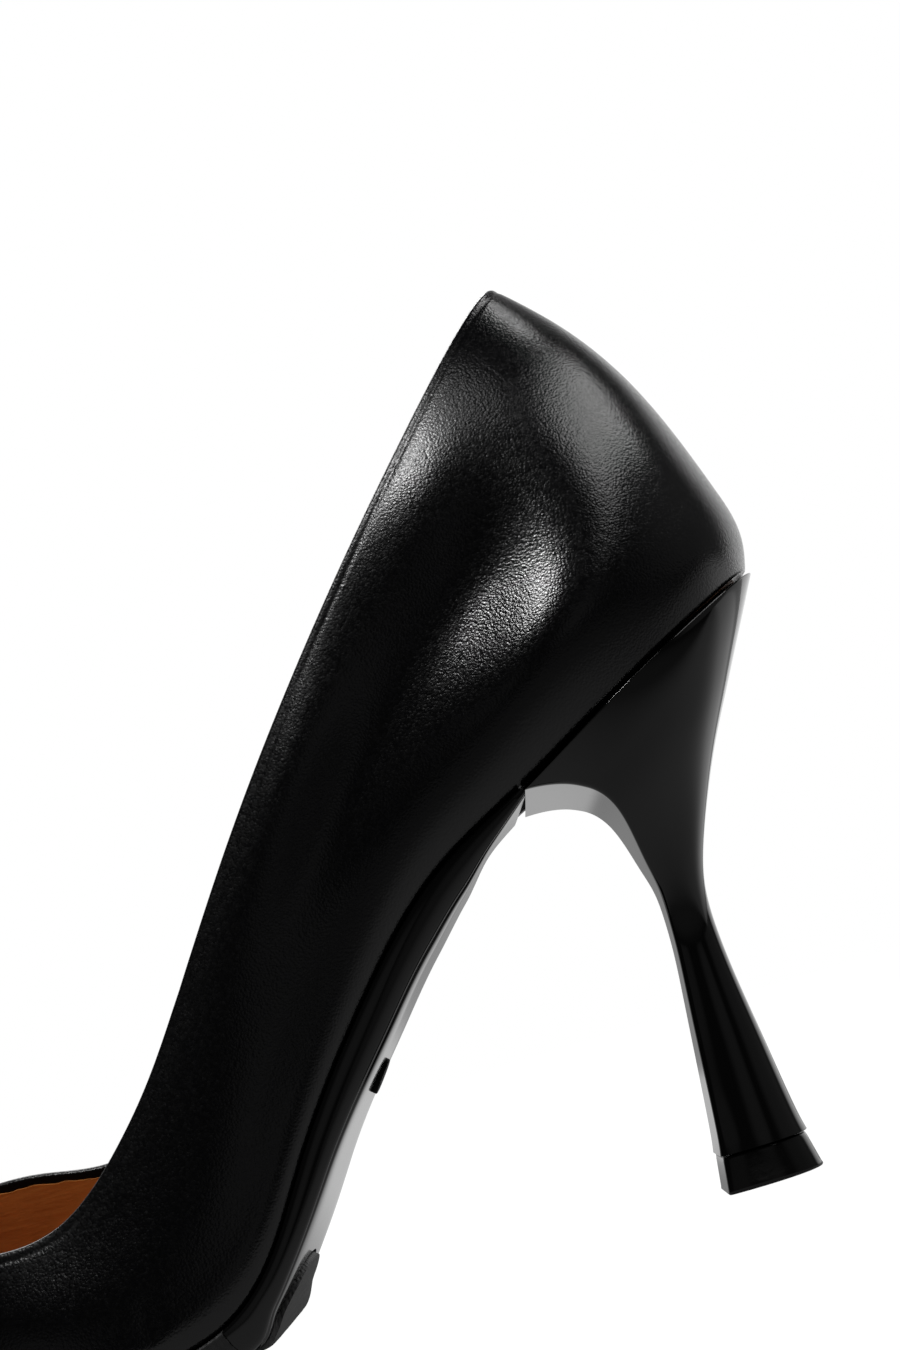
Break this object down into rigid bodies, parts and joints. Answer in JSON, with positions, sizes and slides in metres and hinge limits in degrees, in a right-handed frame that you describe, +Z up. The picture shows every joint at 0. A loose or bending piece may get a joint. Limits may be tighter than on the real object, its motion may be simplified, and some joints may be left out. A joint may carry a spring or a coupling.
{
  "type": "stiletto pump",
  "caption": "Left stiletto pump in smooth black leather with a pointed toe, low-cut topline, arched sole, tall waisted heel and open hollow inside.",
  "frame": {"origin": "on the floor under the middle of the shoe's box", "axes": "+X from toe to heel, +Y from the outer side of the foot to the inner side, +Z up"},
  "size_m": [0.2128, 0.0744, 0.1557],
  "materials": {
    "black_leather": "smooth polished calf with fine grain",
    "lining_leather": "saddle tan lining leather",
    "sole_lacquer": "glossy black lacquered sole leather",
    "tread_rubber": "matte fine-textured rubber",
    "heel_cover": "smooth glossy leather drawn over the heel block",
    "tip_rubber": "hard moulded rubber",
    "stud": "plain glossy black"
  },
  "bodies": {
    "root": {"upper": "black_leather", "insole": "lining_leather", "outsole": "sole_lacquer", "tread": "tread_rubber", "heel": "heel_cover", "heel_tip": "tip_rubber", "sole_stud": "stud"}
  },
  "joints": []
}
